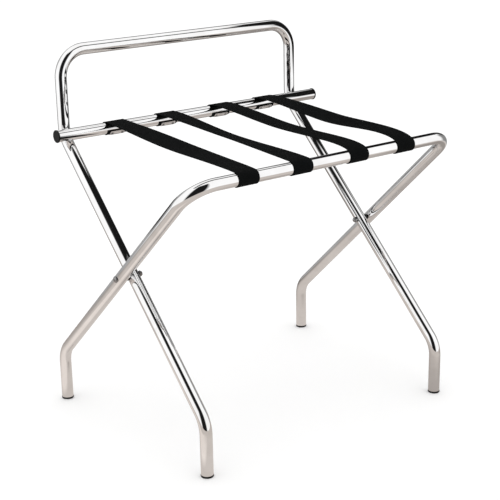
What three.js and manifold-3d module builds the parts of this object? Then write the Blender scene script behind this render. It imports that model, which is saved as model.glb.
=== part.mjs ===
// Folding luggage rack with a back bar.
// Millimetres, +Z up, origin on the floor at the centre of the footprint.
// +X is the rack's right side seen from the front, +Y is towards the back bar.
import * as THREE from 'three';
import { mergeVertices } from 'three/addons/utils/BufferGeometryUtils.js';
import Module from 'manifold-3d';

// ---- Tubing ----
const TUBE_R = 11.1;
const TUBE_WALL = 1.2;
const BEND_R = 52;
const CORNER_R = 50;
const OUTER_SIDES = 16;
const BORE_SIDES = 12;
const BEND_STEP = Math.PI / 22;
const WELD_TOLERANCE = 1e-4;

// ---- Layout ----
const FRONT_FRAME_X = 294.8;
const REAR_FRAME_X = 270;
const LEG_SPLAY = 5;
const PIVOT_Z = 308;
const FRONT_RAIL_Y = -222;
const FRONT_RAIL_Z = 515.5;
const UPRIGHT_Y = 223.9;
const UPRIGHT_BEND_Z = 524;
const BACK_BAR_Z = 681.3;
const FOOT_BEND_Z = 99;
const REAR_RAIL_Z = 531.3;
const REAR_RAIL_HALF = 307;
const REAR_RAIL_SHIFT_X = 5;

// ---- Clearances between touching pieces ----
const GAP = 0.3;

// ---- Glides and plugs ----
const GLIDE_H = 3;
const GLIDE_R = 11.4;
const PLUG_T = 2.4;
const PLUG_R = 11.9;
const CAP_EDGE = 0.6;
const STEM_L = 16;

// ---- Weld beads between rear rail and uprights ----
const WELD_RING_R = 7.5;
const WELD_R = 2.6;
const WELD_SIDES = 8;
const WELD_STEPS = 18;

// ---- Pivots ----
const BOLT_R = 3;
const BOLT_HOLE_R = 3.4;
const BOLT_HEAD_R = 6.2;
const BOLT_HEAD_H = 3.2;
const BOLT_HEAD_EDGE = 0.8;
const BOLT_HEAD_DOME = [
  { radius: 5, height: 2.2 },
  { radius: 2.5, height: 3 },
];
const BOLT_SIDES = 16;
const NUT_R = 6;
const NUT_H = 7.5;
const NUT_HEX_H = 4;
const NUT_BORE_H = 5.2;
const NUT_DOME = [
  { radius: 4.8, height: 4.8 },
  { radius: 3.6, height: 6.6 },
  { radius: 1.7, height: 7.35 },
];
const BORE_OVERRUN = 1;
const HOLE_SIDES = 12;
const BOLT_END_PLAY = 0.7;
const SPACER_R = 7;
const SPACER_BORE_R = 3.5;

// ---- Straps ----
const STRAP_SKEW = 8;
const STRAP_W = 42;
const STRAP_T = 1.6;
const STRAP_END_DEG = 100;
const WRAP_STEP_DEG = 16;
const SPAN_STEPS = 14;
// How each strap hangs: the angles at which it leaves its rails, measured from their tops towards
// the seat, the low stretch between them, and how far each direction pulls the curve along.
const STRAPS = [
  {
    x: -181, frontLeave: -10, frontPull: 17, rearLeave: 1, rearPull: 50,
    lowY: -19, lowZ: 532.7, lowSlope: 0.04, lowPullFront: 62, lowPullRear: 74,
  },
  {
    x: -66, frontLeave: -7, frontPull: 19, rearLeave: -3, rearPull: 43,
    lowY: -21, lowZ: 532.7, lowSlope: 0.028, lowPullFront: 87, lowPullRear: 81,
  },
  {
    x: 61, frontLeave: -33, frontPull: 27, rearLeave: -21, rearPull: 23,
    lowY: -12, lowZ: 533.1, lowSlope: 0.035, lowPullFront: 88, lowPullRear: 70,
  },
  {
    x: 173, frontLeave: -30, frontPull: 36, rearLeave: -8, rearPull: 46,
    lowY: -26, lowZ: 533.3, lowSlope: 0.038, lowPullFront: 68, lowPullRear: 61,
  },
];

// ---- Strap retainer plates and rivets ----
const PLATE_L = 32;
const PLATE_T = 1;
const PLATE_START_DEG = 109;
const PLATE_END_DEG = 157;
const PLATE_STEPS = 6;
const RIVET_X = 11;
const RIVET_R = 2.6;
const RIVET_H = 1.3;
const RIVET_SHANK_R = 1.3;
const RIVET_SINK = 0.7;
const RIVET_DOME_R = 2.1;
const RIVET_DOME_H = 0.9;
const RIVET_SIDES = 8;

// ---- Derived dimensions ----
const DEG = Math.PI / 180;
const FRONT_LEG_RUN = -FRONT_RAIL_Y / (FRONT_RAIL_Z - PIVOT_Z);
const REAR_LEG_RUN = UPRIGHT_Y / (UPRIGHT_BEND_Z - PIVOT_Z);
const REAR_FOOT_Y = (PIVOT_Z - FOOT_BEND_Z) * FRONT_LEG_RUN;
const FRONT_FOOT_Y = -(PIVOT_Z - FOOT_BEND_Z) * REAR_LEG_RUN;
const FRONT_SPLAY_SHARE = (FRONT_RAIL_Z - PIVOT_Z) / (FRONT_RAIL_Z - FOOT_BEND_Z);
const REAR_SPLAY_SHARE = (UPRIGHT_BEND_Z - PIVOT_Z) / (UPRIGHT_BEND_Z - FOOT_BEND_Z);
const FRONT_PIVOT_X = FRONT_FRAME_X + LEG_SPLAY * FRONT_SPLAY_SHARE;
const REAR_PIVOT_X = REAR_FRAME_X + LEG_SPLAY * REAR_SPLAY_SHARE;
const BOLT_LENGTH = FRONT_PIVOT_X - REAR_PIVOT_X + 2 * (TUBE_R + GAP) + NUT_BORE_H - BOLT_END_PLAY;
const TUBE_FLOOR_Z = GLIDE_H + GAP;
const STEM_R = (TUBE_R - TUBE_WALL) * Math.cos(Math.PI / BORE_SIDES) - GAP;
const STRAP_INNER_R = TUBE_R + GAP;
const PLATE_INNER_R = STRAP_INNER_R + STRAP_T + GAP;
const PLATE_MID_DEG = (PLATE_START_DEG + PLATE_END_DEG) / 2;

// The rear rail lies in the hollow of the bend below each upright, touching it.
const UPRIGHT_BEND_ANGLE = Math.atan(REAR_LEG_RUN);
const BEND_CENTRE_Y = UPRIGHT_Y - BEND_R;
const BEND_CENTRE_Z = UPRIGHT_BEND_Z + BEND_R * Math.tan(UPRIGHT_BEND_ANGLE / 2);
const RAIL_TO_BEND_CENTRE = BEND_R - 2 * TUBE_R - GAP;
const REAR_RAIL_Y = BEND_CENTRE_Y + Math.sqrt(RAIL_TO_BEND_CENTRE ** 2 - (BEND_CENTRE_Z - REAR_RAIL_Z) ** 2);
const RAIL_CONTACT_ANGLE = Math.atan2(REAR_RAIL_Z - BEND_CENTRE_Z, REAR_RAIL_Y - BEND_CENTRE_Y);

// inward is the direction along Y from a rail towards the seat.
// Each strap end is centred on its rail at shift from the strap's own middle.
const FRONT_RAIL = { name: 'front', y: FRONT_RAIL_Y, z: FRONT_RAIL_Z, inward: 1, shift: -STRAP_SKEW / 2 };
const REAR_RAIL = { name: 'rear', y: REAR_RAIL_Y, z: REAR_RAIL_Z, inward: -1, shift: STRAP_SKEW / 2 };
const SIDES = [{ name: 'left', sign: -1 }, { name: 'right', sign: 1 }];

// ---- Materials ----
const chrome = { color: 0xd9d9dc, roughness: 0.06, metalness: 1 };
const steel = { color: 0xb4b5b8, roughness: 0.25, metalness: 1 };
const blackPlastic = { color: 0x101011, roughness: 0.45, metalness: 0 };
const webbing = { color: 0x0b0c0d, roughness: 0.85, metalness: 0 };

const wasm = await Module();
wasm.setup();
const group = new THREE.Group();

function addPart(name, geometry, look) {
  geometry.computeVertexNormals();
  const mesh = new THREE.Mesh(geometry, new THREE.MeshStandardMaterial(look));
  mesh.name = name;
  group.add(mesh);
}

// ---- Joining and cutting ----
function toSolid(geometry) {
  const bare = geometry.clone();
  bare.deleteAttribute('normal');
  bare.deleteAttribute('uv');
  const merged = mergeVertices(bare, WELD_TOLERANCE);
  const vertProperties = new Float32Array(merged.attributes.position.array);
  const triVerts = new Uint32Array(merged.index.array);
  return new wasm.Manifold(new wasm.Mesh({ numProp: 3, vertProperties, triVerts }));
}

function toGeometry(solid) {
  const mesh = solid.getMesh();
  const geometry = new THREE.BufferGeometry();
  geometry.setAttribute('position', new THREE.BufferAttribute(mesh.vertProperties, 3));
  geometry.setIndex(new THREE.BufferAttribute(mesh.triVerts, 1));
  return geometry;
}

function cutAway(geometry, cutters) {
  let solid = toSolid(geometry);
  for (const cutter of cutters) {
    solid = solid.subtract(toSolid(cutter));
  }
  return toGeometry(solid);
}

// ---- Bent tubes ----
// A path through stations of known position and direction, one per sweep step.
class StationPath extends THREE.Curve {
  constructor(stations) {
    super();
    this.stations = stations;
  }

  pick(t, key) {
    const last = this.stations.length - 1;
    const at = Math.min(Math.max(t, 0), 1) * last;
    const low = Math.min(Math.floor(at), last - 1);
    return this.stations[low][key].clone().lerp(this.stations[low + 1][key], at - low);
  }

  getPoint(t) {
    return this.pick(t, 'point');
  }

  getPointAt(t) {
    return this.getPoint(t);
  }

  getTangent(t) {
    return this.pick(t, 'direction').normalize();
  }

  getTangentAt(t) {
    return this.getTangent(t);
  }
}

// Straight runs between corners, each inner corner rounded to its own radius.
function bentStations(corners) {
  const first = corners[0].at;
  const stations = [{ point: first.clone(), direction: corners[1].at.clone().sub(first).normalize() }];
  for (let i = 1; i < corners.length - 1; i += 1) {
    const { at, radius } = corners[i];
    const before = at.clone().sub(corners[i - 1].at).normalize();
    const after = corners[i + 1].at.clone().sub(at).normalize();
    const turn = before.angleTo(after);
    const start = at.clone().addScaledVector(before, -radius * Math.tan(turn / 2));
    const side = after.clone().addScaledVector(before, -Math.cos(turn)).normalize();
    const steps = Math.ceil(turn / BEND_STEP);
    for (let k = 0; k <= steps; k += 1) {
      const angle = (turn * k) / steps;
      const point = start.clone()
        .addScaledVector(before, radius * Math.sin(angle))
        .addScaledVector(side, radius * (1 - Math.cos(angle)));
      const direction = before.clone()
        .multiplyScalar(Math.cos(angle))
        .addScaledVector(side, Math.sin(angle));
      stations.push({ point, direction });
    }
  }
  const end = corners[corners.length - 1].at;
  const lastRun = end.clone().sub(corners[corners.length - 2].at).normalize();
  stations.push({ point: end.clone(), direction: lastRun });
  return stations;
}

function sweepAlong(corners, radius, boreRadius) {
  const stations = bentStations(corners);
  const section = new THREE.Shape(polygonPoints(radius, OUTER_SIDES));
  if (boreRadius) {
    section.holes.push(new THREE.Path(polygonPoints(boreRadius, BORE_SIDES).reverse()));
  }
  return new THREE.ExtrudeGeometry(section, {
    steps: stations.length - 1,
    extrudePath: new StationPath(stations),
  });
}

function polygonPoints(radius, sides) {
  const points = [];
  for (let i = 0; i < sides; i += 1) {
    const angle = (2 * Math.PI * i) / sides;
    points.push(new THREE.Vector2(radius * Math.cos(angle), radius * Math.sin(angle)));
  }
  return points;
}

function mirroredCorners(leftCorners) {
  const right = leftCorners.map(({ at, radius }) => ({ at: new THREE.Vector3(-at.x, at.y, at.z), radius }));
  return [...leftCorners, ...right.reverse()];
}

function corner(x, y, z, radius = 0) {
  return { at: new THREE.Vector3(x, y, z), radius };
}

// A cylinder whose axis lies along X, from x1 to x2.
function barAlongX(radius, x1, x2, y, z, sides) {
  const bar = new THREE.CylinderGeometry(radius, radius, Math.abs(x2 - x1), sides);
  bar.rotateZ(Math.PI / 2);
  bar.translate((x1 + x2) / 2, y, z);
  return bar;
}

// ---- Places around a rail, measured from its top towards the seat ----
function aroundRail(rail, degrees, radius) {
  const angle = degrees * DEG;
  const across = rail.inward * radius * Math.sin(angle);
  return new THREE.Vector2(rail.y + across, rail.z + radius * Math.cos(angle));
}

// Turns a profile drawn in (y, z) and extruded by width into place, centred on x.
function acrossRack(outline, width, x) {
  const section = new THREE.Shape(outline);
  const geometry = new THREE.ExtrudeGeometry(section, { depth: width, bevelEnabled: false });
  const axes = new THREE.Matrix4().makeBasis(
    new THREE.Vector3(0, 1, 0),
    new THREE.Vector3(0, 0, 1),
    new THREE.Vector3(1, 0, 0),
  );
  geometry.applyMatrix4(axes);
  geometry.translate(x - width / 2, 0, 0);
  return geometry;
}

// Moves a lathe-made piece, drawn upright along Y, so that it stands out of a rail's surface.
function standOnRail(geometry, rail, degrees, x) {
  const angle = degrees * DEG;
  const outward = new THREE.Vector3(0, rail.inward * Math.sin(angle), Math.cos(angle));
  const turn = new THREE.Quaternion().setFromUnitVectors(new THREE.Vector3(0, 1, 0), outward);
  geometry.applyQuaternion(turn);
  geometry.translate(x, rail.y, rail.z);
  return geometry;
}

function rivetPlaces(rail) {
  const places = [];
  STRAPS.forEach((strap, i) => {
    for (const side of SIDES) {
      places.push({ strap: i, side: side.name, x: strap.x + rail.shift + side.sign * RIVET_X, rail });
    }
  });
  return places;
}

function rivetHole(place) {
  const depth = TUBE_R;
  const hole = new THREE.CylinderGeometry(RIVET_SHANK_R + GAP, RIVET_SHANK_R + GAP, depth, RIVET_SIDES);
  hole.translate(0, TUBE_R, 0);
  return standOnRail(hole, place.rail, PLATE_MID_DEG, place.x);
}

function pivotHoles(pivotX) {
  return SIDES.map(({ sign }) => {
    const inner = sign * (pivotX - TUBE_R - BORE_OVERRUN);
    const outer = sign * (pivotX + TUBE_R + BORE_OVERRUN);
    return barAlongX(BOLT_HOLE_R, inner, outer, 0, PIVOT_Z, HOLE_SIDES);
  });
}

// ---- Frames and rear rail ----
function buildFrames() {
  const frontFrame = sweepAlong(mirroredCorners([
    corner(-FRONT_FRAME_X - LEG_SPLAY, REAR_FOOT_Y, TUBE_FLOOR_Z),
    corner(-FRONT_FRAME_X - LEG_SPLAY, REAR_FOOT_Y, FOOT_BEND_Z, BEND_R),
    corner(-FRONT_FRAME_X, FRONT_RAIL_Y, FRONT_RAIL_Z, BEND_R),
  ]), TUBE_R, TUBE_R - TUBE_WALL);
  const frontCuts = [...pivotHoles(FRONT_PIVOT_X), ...rivetPlaces(FRONT_RAIL).map(rivetHole)];
  addPart('front_frame_tube', cutAway(frontFrame, frontCuts), chrome);

  const rearFrame = sweepAlong(mirroredCorners([
    corner(-REAR_FRAME_X - LEG_SPLAY, FRONT_FOOT_Y, TUBE_FLOOR_Z),
    corner(-REAR_FRAME_X - LEG_SPLAY, FRONT_FOOT_Y, FOOT_BEND_Z, BEND_R),
    corner(-REAR_FRAME_X, UPRIGHT_Y, UPRIGHT_BEND_Z, BEND_R),
    corner(-REAR_FRAME_X, UPRIGHT_Y, BACK_BAR_Z, CORNER_R),
  ]), TUBE_R, TUBE_R - TUBE_WALL);
  addPart('rear_frame_tube', cutAway(rearFrame, pivotHoles(REAR_PIVOT_X)), chrome);
}

function buildRearRail() {
  const half = REAR_RAIL_HALF - PLUG_T - GAP;
  const rail = sweepAlong([
    corner(REAR_RAIL_SHIFT_X - half, REAR_RAIL_Y, REAR_RAIL_Z),
    corner(REAR_RAIL_SHIFT_X + half, REAR_RAIL_Y, REAR_RAIL_Z),
  ], TUBE_R, TUBE_R - TUBE_WALL);
  addPart('rear_rail', cutAway(rail, rivetPlaces(REAR_RAIL).map(rivetHole)), chrome);
}

// A fillet ring in the groove between the rail and the upright's bend.
function buildWelds() {
  const toContact = RAIL_TO_BEND_CENTRE + TUBE_R + GAP / 2;
  const contactY = BEND_CENTRE_Y + toContact * Math.cos(RAIL_CONTACT_ANGLE);
  const contactZ = BEND_CENTRE_Z + toContact * Math.sin(RAIL_CONTACT_ANGLE);
  for (const { name, sign } of SIDES) {
    const x = sign * REAR_FRAME_X;
    const bead = new THREE.TorusGeometry(WELD_RING_R, WELD_R, WELD_SIDES, WELD_STEPS);
    bead.rotateX(RAIL_CONTACT_ANGLE - Math.PI / 2);
    bead.translate(x, contactY, contactZ);
    const upright = sweepAlong([
      corner(sign * REAR_PIVOT_X, 0, PIVOT_Z),
      corner(x, UPRIGHT_Y, UPRIGHT_BEND_Z, BEND_R),
      corner(x, UPRIGHT_Y, BACK_BAR_Z),
    ], TUBE_R + GAP);
    const reach = 2 * WELD_RING_R;
    const rail = barAlongX(TUBE_R + GAP, x - reach, x + reach, REAR_RAIL_Y, REAR_RAIL_Z, OUTER_SIDES);
    addPart(`weld_${name}`, cutAway(bead, [upright, rail]), steel);
  }
}

// ---- Glides and plugs: a cap with a stem inside the tube ----
function cappedStem(capR, capH) {
  return new THREE.LatheGeometry([
    new THREE.Vector2(0, 0),
    new THREE.Vector2(capR - CAP_EDGE, 0),
    new THREE.Vector2(capR, CAP_EDGE),
    new THREE.Vector2(capR, capH),
    new THREE.Vector2(STEM_R, capH),
    new THREE.Vector2(STEM_R, capH + STEM_L),
    new THREE.Vector2(0, capH + STEM_L),
  ], BORE_SIDES);
}

function buildGlides() {
  const rows = [
    { name: 'front', x: REAR_FRAME_X + LEG_SPLAY, y: FRONT_FOOT_Y },
    { name: 'rear', x: FRONT_FRAME_X + LEG_SPLAY, y: REAR_FOOT_Y },
  ];
  for (const row of rows) {
    for (const { name, sign } of SIDES) {
      const glide = cappedStem(GLIDE_R, GLIDE_H);
      glide.rotateX(Math.PI / 2);
      glide.translate(sign * row.x, row.y, 0);
      addPart(`glide_${row.name}_${name}`, glide, blackPlastic);
    }
  }
}

function buildRailPlugs() {
  for (const { name, sign } of SIDES) {
    const plug = cappedStem(PLUG_R, PLUG_T);
    plug.rotateZ((sign * Math.PI) / 2);
    plug.translate(REAR_RAIL_SHIFT_X + sign * REAR_RAIL_HALF, REAR_RAIL_Y, REAR_RAIL_Z);
    addPart(`rail_plug_${name}`, plug, blackPlastic);
  }
}

// ---- Pivots ----
function pivotBolt() {
  return new THREE.LatheGeometry([
    new THREE.Vector2(0, -BOLT_LENGTH),
    new THREE.Vector2(BOLT_R, -BOLT_LENGTH),
    new THREE.Vector2(BOLT_R, 0),
    new THREE.Vector2(BOLT_HEAD_R, 0),
    new THREE.Vector2(BOLT_HEAD_R, BOLT_HEAD_EDGE),
    ...BOLT_HEAD_DOME.map(({ radius, height }) => new THREE.Vector2(radius, height)),
    new THREE.Vector2(0, BOLT_HEAD_H),
  ], BOLT_SIDES);
}

function capNut() {
  const hex = new THREE.CylinderGeometry(NUT_R, NUT_R, NUT_HEX_H, 6);
  hex.translate(0, NUT_HEX_H / 2, 0);
  const dome = new THREE.LatheGeometry([
    new THREE.Vector2(0, NUT_HEX_H / 2),
    new THREE.Vector2(NUT_DOME[0].radius, NUT_HEX_H / 2),
    ...NUT_DOME.map(({ radius, height }) => new THREE.Vector2(radius, height)),
    new THREE.Vector2(0, NUT_H),
  ], HOLE_SIDES);
  const bore = new THREE.CylinderGeometry(BOLT_R + GAP, BOLT_R + GAP, NUT_BORE_H + BORE_OVERRUN, HOLE_SIDES);
  bore.translate(0, (NUT_BORE_H - BORE_OVERRUN) / 2, 0);
  return toGeometry(toSolid(hex).add(toSolid(dome)).subtract(toSolid(bore)));
}

function buildPivots() {
  for (const { name, sign } of SIDES) {
    const headX = FRONT_PIVOT_X + TUBE_R + GAP;
    const bolt = pivotBolt();
    bolt.rotateZ((-sign * Math.PI) / 2);
    bolt.translate(sign * headX, 0, PIVOT_Z);
    addPart(`pivot_bolt_${name}`, bolt, steel);

    const nut = capNut();
    nut.rotateZ((sign * Math.PI) / 2);
    nut.translate(sign * (REAR_PIVOT_X - TUBE_R - GAP), 0, PIVOT_Z);
    addPart(`pivot_nut_${name}`, nut, steel);

    const inner = REAR_PIVOT_X + TUBE_R + GAP;
    const outer = FRONT_PIVOT_X - TUBE_R - GAP;
    const spacer = barAlongX(SPACER_R, sign * inner, sign * outer, 0, PIVOT_Z, BOLT_SIDES);
    const boreFrom = sign * (inner - BORE_OVERRUN);
    const boreTo = sign * (outer + BORE_OVERRUN);
    const bore = barAlongX(SPACER_BORE_R, boreFrom, boreTo, 0, PIVOT_Z, HOLE_SIDES);
    addPart(`pivot_spacer_${name}`, cutAway(spacer, [bore]), blackPlastic);
  }
}

// ---- Straps ----
// Points and normals along the middle of a strap, in (y, z), from one end edge to the other.
function strapCourse(strap) {
  const middleR = STRAP_INNER_R + STRAP_T / 2;
  const wrapStart = STRAP_END_DEG - 360;
  const wrap = (rail, leave) => {
    const steps = Math.ceil((leave - wrapStart) / WRAP_STEP_DEG);
    return Array.from({ length: steps + 1 }, (_, k) => {
      const degrees = wrapStart + ((leave - wrapStart) * k) / steps;
      const point = aroundRail(rail, degrees, middleR);
      return { point, normal: point.clone().sub(new THREE.Vector2(rail.y, rail.z)).normalize() };
    });
  };
  const front = wrap(FRONT_RAIL, strap.frontLeave);
  const rear = wrap(REAR_RAIL, strap.rearLeave).reverse();
  return [...front, ...strapSpan(front[front.length - 1], rear[0], strap), ...rear];
}

// The free part is two curves that meet at the strap's low stretch, each tangent to its own rail.
function strapSpan(from, to, strap) {
  const low = new THREE.Vector2(strap.lowY, strap.lowZ);
  const level = new THREE.Vector2(1, strap.lowSlope).normalize();
  const leaving = new THREE.Vector2(from.normal.y, -from.normal.x);
  const arriving = new THREE.Vector2(to.normal.y, -to.normal.x);
  const pulled = (point, direction, pull) => point.clone().addScaledVector(direction, pull);
  const frontCurve = new THREE.CubicBezierCurve(
    from.point,
    pulled(from.point, leaving, strap.frontPull),
    pulled(low, level, -strap.lowPullFront),
    low,
  );
  const rearCurve = new THREE.CubicBezierCurve(
    low,
    pulled(low, level, strap.lowPullRear),
    pulled(to.point, arriving, -strap.rearPull),
    to.point,
  );
  const span = [];
  for (let k = 1; k < 2 * SPAN_STEPS; k += 1) {
    const curve = k < SPAN_STEPS ? frontCurve : rearCurve;
    const t = (k % SPAN_STEPS) / SPAN_STEPS;
    const tangent = curve.getTangent(t);
    span.push({ point: curve.getPoint(t), normal: new THREE.Vector2(-tangent.y, tangent.x) });
  }
  return span;
}

// Slides the free part sideways in step with its run, so that both wraps stay square to their rails.
function skewStrap(geometry) {
  const position = geometry.attributes.position;
  const run = REAR_RAIL_Y - FRONT_RAIL_Y;
  for (let i = 0; i < position.count; i += 1) {
    const along = THREE.MathUtils.clamp((position.getY(i) - FRONT_RAIL_Y) / run, 0, 1);
    position.setX(i, position.getX(i) + STRAP_SKEW * (along - 0.5));
  }
}

function buildStraps() {
  const places = [...rivetPlaces(FRONT_RAIL), ...rivetPlaces(REAR_RAIL)];
  STRAPS.forEach((hang, i) => {
    const course = strapCourse(hang);
    const upper = course.map(({ point, normal }) => point.clone().addScaledVector(normal, STRAP_T / 2));
    const lower = course.map(({ point, normal }) => point.clone().addScaledVector(normal, -STRAP_T / 2));
    const strap = acrossRack([...lower, ...upper.reverse()], STRAP_W, hang.x);
    skewStrap(strap);
    const holes = places.filter((place) => place.strap === i).map(rivetHole);
    addPart(`strap_${i + 1}`, cutAway(strap, holes), webbing);
  });
}

// ---- Retainer plates and rivets over the strap ends ----
function buildPlates(rail) {
  const inside = [];
  const outside = [];
  for (let k = 0; k <= PLATE_STEPS; k += 1) {
    const degrees = PLATE_START_DEG + ((PLATE_END_DEG - PLATE_START_DEG) * k) / PLATE_STEPS;
    inside.push(aroundRail(rail, degrees, PLATE_INNER_R));
    outside.push(aroundRail(rail, degrees, PLATE_INNER_R + PLATE_T));
  }
  const outline = [...inside, ...outside.reverse()];
  STRAPS.forEach(({ x }, i) => {
    const holes = rivetPlaces(rail).filter(({ strap }) => strap === i).map(rivetHole);
    const plate = acrossRack(outline, PLATE_L, x + rail.shift);
    addPart(`plate_${rail.name}_${i + 1}`, cutAway(plate, holes), chrome);
  });
}

function buildRivets(rail) {
  const seat = PLATE_INNER_R + PLATE_T + GAP;
  const tail = TUBE_R - TUBE_WALL - RIVET_SINK;
  for (const place of rivetPlaces(rail)) {
    const rivet = new THREE.LatheGeometry([
      new THREE.Vector2(0, tail),
      new THREE.Vector2(RIVET_SHANK_R, tail),
      new THREE.Vector2(RIVET_SHANK_R, seat),
      new THREE.Vector2(RIVET_R, seat),
      new THREE.Vector2(RIVET_DOME_R, seat + RIVET_DOME_H),
      new THREE.Vector2(0, seat + RIVET_H),
    ], RIVET_SIDES);
    standOnRail(rivet, rail, PLATE_MID_DEG, place.x);
    addPart(`rivet_${rail.name}_${place.strap + 1}_${place.side}`, rivet, steel);
  }
}

buildFrames();
buildRearRail();
buildWelds();
buildGlides();
buildRailPlugs();
buildPivots();
buildStraps();
for (const rail of [FRONT_RAIL, REAR_RAIL]) {
  buildPlates(rail);
  buildRivets(rail);
}

export default group;
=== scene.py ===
import math

import bmesh
import bpy
import numpy as np
from mathutils import Matrix, Vector


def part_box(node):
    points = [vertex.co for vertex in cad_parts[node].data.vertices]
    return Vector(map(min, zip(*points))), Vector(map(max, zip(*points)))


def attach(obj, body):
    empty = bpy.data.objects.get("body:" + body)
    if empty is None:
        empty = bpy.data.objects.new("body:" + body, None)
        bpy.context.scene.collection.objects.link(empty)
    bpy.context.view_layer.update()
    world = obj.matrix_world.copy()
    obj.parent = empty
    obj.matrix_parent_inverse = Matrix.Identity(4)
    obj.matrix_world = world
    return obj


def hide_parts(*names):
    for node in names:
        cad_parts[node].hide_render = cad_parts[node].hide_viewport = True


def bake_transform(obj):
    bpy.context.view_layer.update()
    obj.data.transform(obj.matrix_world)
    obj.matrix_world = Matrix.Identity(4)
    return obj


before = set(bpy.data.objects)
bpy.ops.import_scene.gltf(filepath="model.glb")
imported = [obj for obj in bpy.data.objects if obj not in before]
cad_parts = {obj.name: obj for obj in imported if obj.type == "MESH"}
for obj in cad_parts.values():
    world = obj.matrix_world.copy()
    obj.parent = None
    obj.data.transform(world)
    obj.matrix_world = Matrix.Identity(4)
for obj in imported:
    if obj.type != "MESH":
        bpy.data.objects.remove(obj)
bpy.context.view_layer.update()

MM = 0.001
BODIES = {"front": "front_frame", "rear": "rear_frame"}
SIDES = (("left", -1), ("right", 1))
WHITE = (1, 1, 1)

# ---- Tubing, as the frame has it ----
TUBE_R = 11.1 * MM
BORE_R = 9.9 * MM
BEND_R = 52 * MM
CORNER_R = 50 * MM
LEG_SPLAY = 5 * MM
FOOT_BEND_Z = 99 * MM
UPRIGHT_BEND_Z = 524 * MM
TUBE_SIDES = 48
BEND_STEP = math.radians(3)
RIM = 0.3 * MM
OVAL = 0.022

# ---- Weld beads ----
WELD_RING_R = 7.5 * MM
WELD_BEAD_R = 2.6 * MM
WELD_RIPPLES = 22
WELD_RIPPLE_DEPTH = 0.1
WELD_RIPPLE_ROUND = 0.6
WELD_STEPS = 132
WELD_SIDES = 14

# ---- Glides and end plugs ----
# Shares of a cap's radius: where its flat face ends, and where its raised rim starts.
CAP_FACE = 0.62
CAP_RIM = 0.72
STEM_R = 9.3 * MM
STEM_L = 16 * MM
STEM_RIBS = 3
RIB_H = 0.3 * MM
RIB_L = 3 * MM
GLIDE_R = 11.5 * MM
GLIDE_H = 3 * MM
PLUG_R = 11.9 * MM
PLUG_H = 2.4 * MM
PLUG_DISH = 0.25 * MM

# ---- Pivot bolts, cap nuts and spacers ----
SHANK_R = 3 * MM
SHANK_CHAMFER = 0.5 * MM
BOLT_HEAD_R = 6.2 * MM
BOLT_HEAD_H = 3.2 * MM
NUT_CORNER_R = 6 * MM
NUT_SIDES = 72
# A cap nut's (radius, height) in millimetres, from its base up its corners and over its dome.
NUT_PROFILE = [
    (0, 0), (5.15, 0), (5.5, 0.25), (6.0, 0.45), (6.0, 3.35), (5.6, 3.75), (5.2, 4.0), (4.75, 4.05),
    (4.8, 4.5), (4.72, 5.1), (4.4, 5.8), (3.8, 6.45), (3.0, 6.95), (2.0, 7.3), (1.0, 7.46), (0, 7.5),
]
SPACER_BORE_R = 3.2 * MM
SPACER_R = 7 * MM
SPACER_EASE = 0.35 * MM
# About the length round a spacer's section, for its UVs.
SPACER_GIRTH = 12 * MM
SPACER_SIDES = 64

# ---- Straps ----
STRAP_COUNT = 4
STRAP_W = 42 * MM
STRAP_T = 1.6 * MM
STRAP_GAP = 0.12 * MM
STRAP_SKEW = 8 * MM
STRAP_END_DEG = 100
SPAN_ROWS = 44
WRAP_STEP_DEG = 5
# How much a span's edges stand above its middle at most, one value drawn for each strap, and the share
# of that by which the whole section is lowered.
CUP_RANGE_MM = (0.3, 0.9)
CUP_SEED = 7
CUP_LOWERED = 0.33
# How each strap hangs, in millimetres and degrees: the angles at which it leaves the front and the rear
# rail, its low stretch as (y, z, slope), how far each direction pulls the curve, then its roll near each
# rail and its sideways bow.
HANGS = [
    {"leave": (-10, 1), "rail_pull": (17, 50), "low": (-19, 532.7, 0.040), "low_pull": (62, 74),
     "roll": (1, 7), "bow": 0.7},
    {"leave": (-7, -3), "rail_pull": (19, 43), "low": (-21, 532.7, 0.028), "low_pull": (87, 81),
     "roll": (-5, -4), "bow": 0.8},
    {"leave": (-33, -21), "rail_pull": (27, 23), "low": (-12, 533.1, 0.035), "low_pull": (88, 70),
     "roll": (-1, 1), "bow": 0.7},
    {"leave": (-30, -8), "rail_pull": (36, 46), "low": (-26, 533.3, 0.038), "low_pull": (68, 61),
     "roll": (6, 4), "bow": 1.3},
]
# A strap's section, in millimetres from its middle: where it has points, half the thickness of its
# body, where its edge starts to round off and over what length, and its selvedge's bead and groove as
# (place, size, width).
SECTION_STOPS = (0, 3, 6, 9, 12, 14.5, 16.4, 17.4, 18.0, 18.6, 19.3, 20.0, 20.5, 20.85)
BODY_HALF = 0.70
EDGE_FROM = 20.2
EDGE_ROUND = 0.8
SELVEDGE_BEAD = (19.6, 0.10, 0.8)
SELVEDGE_GROOVE = (18.0, 0.09, 0.45)
# A strap's two cut ends: how thick its last ring and the one before it are.
END_SWELL = {0: 0.72, 1: 1.08}

# ---- Retainer plates and rivets ----
PLATE_W = 32 * MM
PLATE_T = 1 * MM
PLATE_GAP = 0.05 * MM
PLATE_START_DEG = 109
PLATE_END_DEG = 157
PLATE_CORNER = 3 * MM
PLATE_EASE = 0.28 * MM
PLATE_BACK_EASE = 0.08 * MM
PLATE_ROWS = 24
# Within PLATE_RIM of its two ends, a plate is PLATE_RIM_THIN of its full thickness.
PLATE_RIM = 0.15 * MM
PLATE_RIM_THIN = 0.75
# From a rail's axis to the back of its plates.
PLATE_SEAT = TUBE_R + STRAP_GAP + STRAP_T + PLATE_GAP
RIVET_X = 11 * MM
# From a rail's axis to the tails of its rivets, inside it.
RIVET_TAIL = 9.2 * MM
RIVET_SHANK_R = 1.3 * MM
RIVET_HEAD_R = 2.6 * MM
RIVET_HEAD_H = 1.35 * MM
RIVET_SIDES = 40

# ---- Webbing's weave ----
YARN_PITCH = 1.35 * MM
RIB_PITCH = 1.7 * MM

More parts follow.
